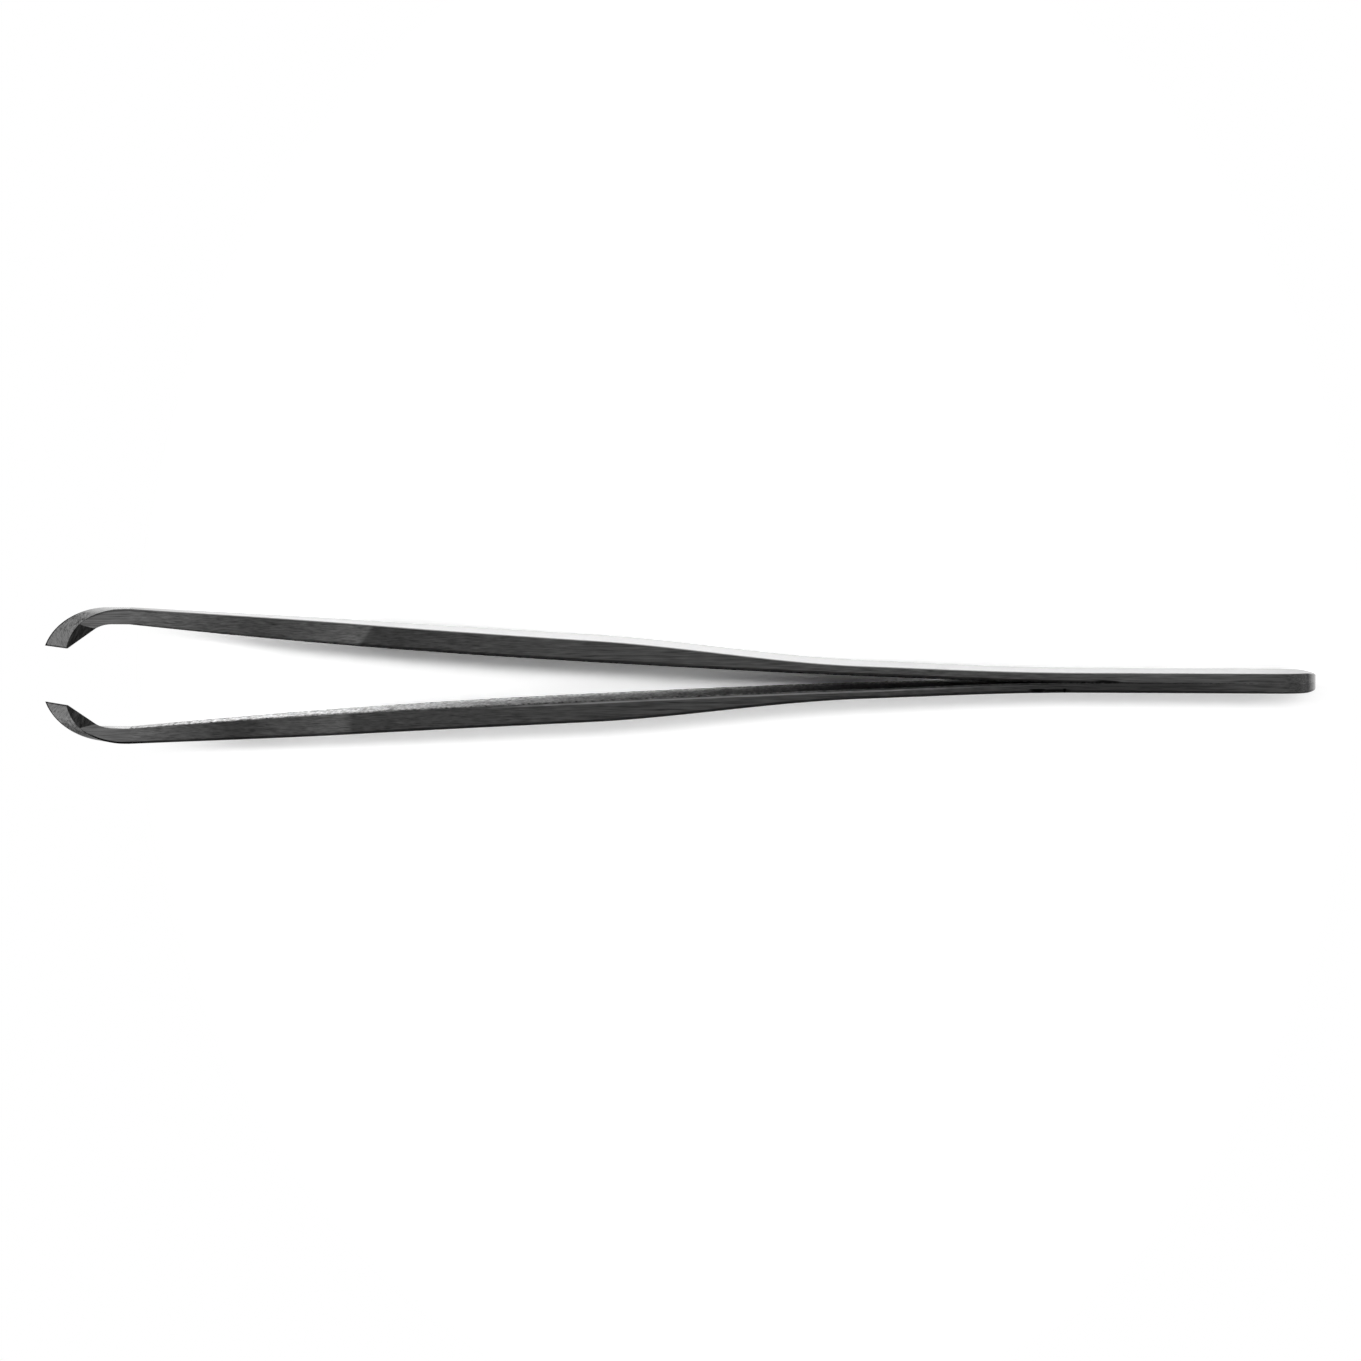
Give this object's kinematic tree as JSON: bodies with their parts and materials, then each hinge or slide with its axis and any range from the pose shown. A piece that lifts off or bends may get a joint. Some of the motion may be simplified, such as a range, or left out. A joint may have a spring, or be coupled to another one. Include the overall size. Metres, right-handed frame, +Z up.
{
  "type": "cutting tweezers",
  "caption": "Cutting tweezers with oblique bent-in heads on tapered spring-steel arms that are welded face to face at the rear end.",
  "frame": {"origin": "on the surface that the tweezers lie on, under the middle of their bounding box", "axes": "+X from the cutting tips to the welded rear end, +Y across the opening towards the right arm, +Z up through the width of the strips"},
  "size_m": [0.115, 0.0122, 0.0092],
  "materials": {
    "right_arm_steel": "dark grey, brushed",
    "left_arm_steel": "dark grey, brushed"
  },
  "bodies": {
    "root": {"right_arm": "right_arm_steel", "left_arm": "left_arm_steel"}
  },
  "joints": []
}
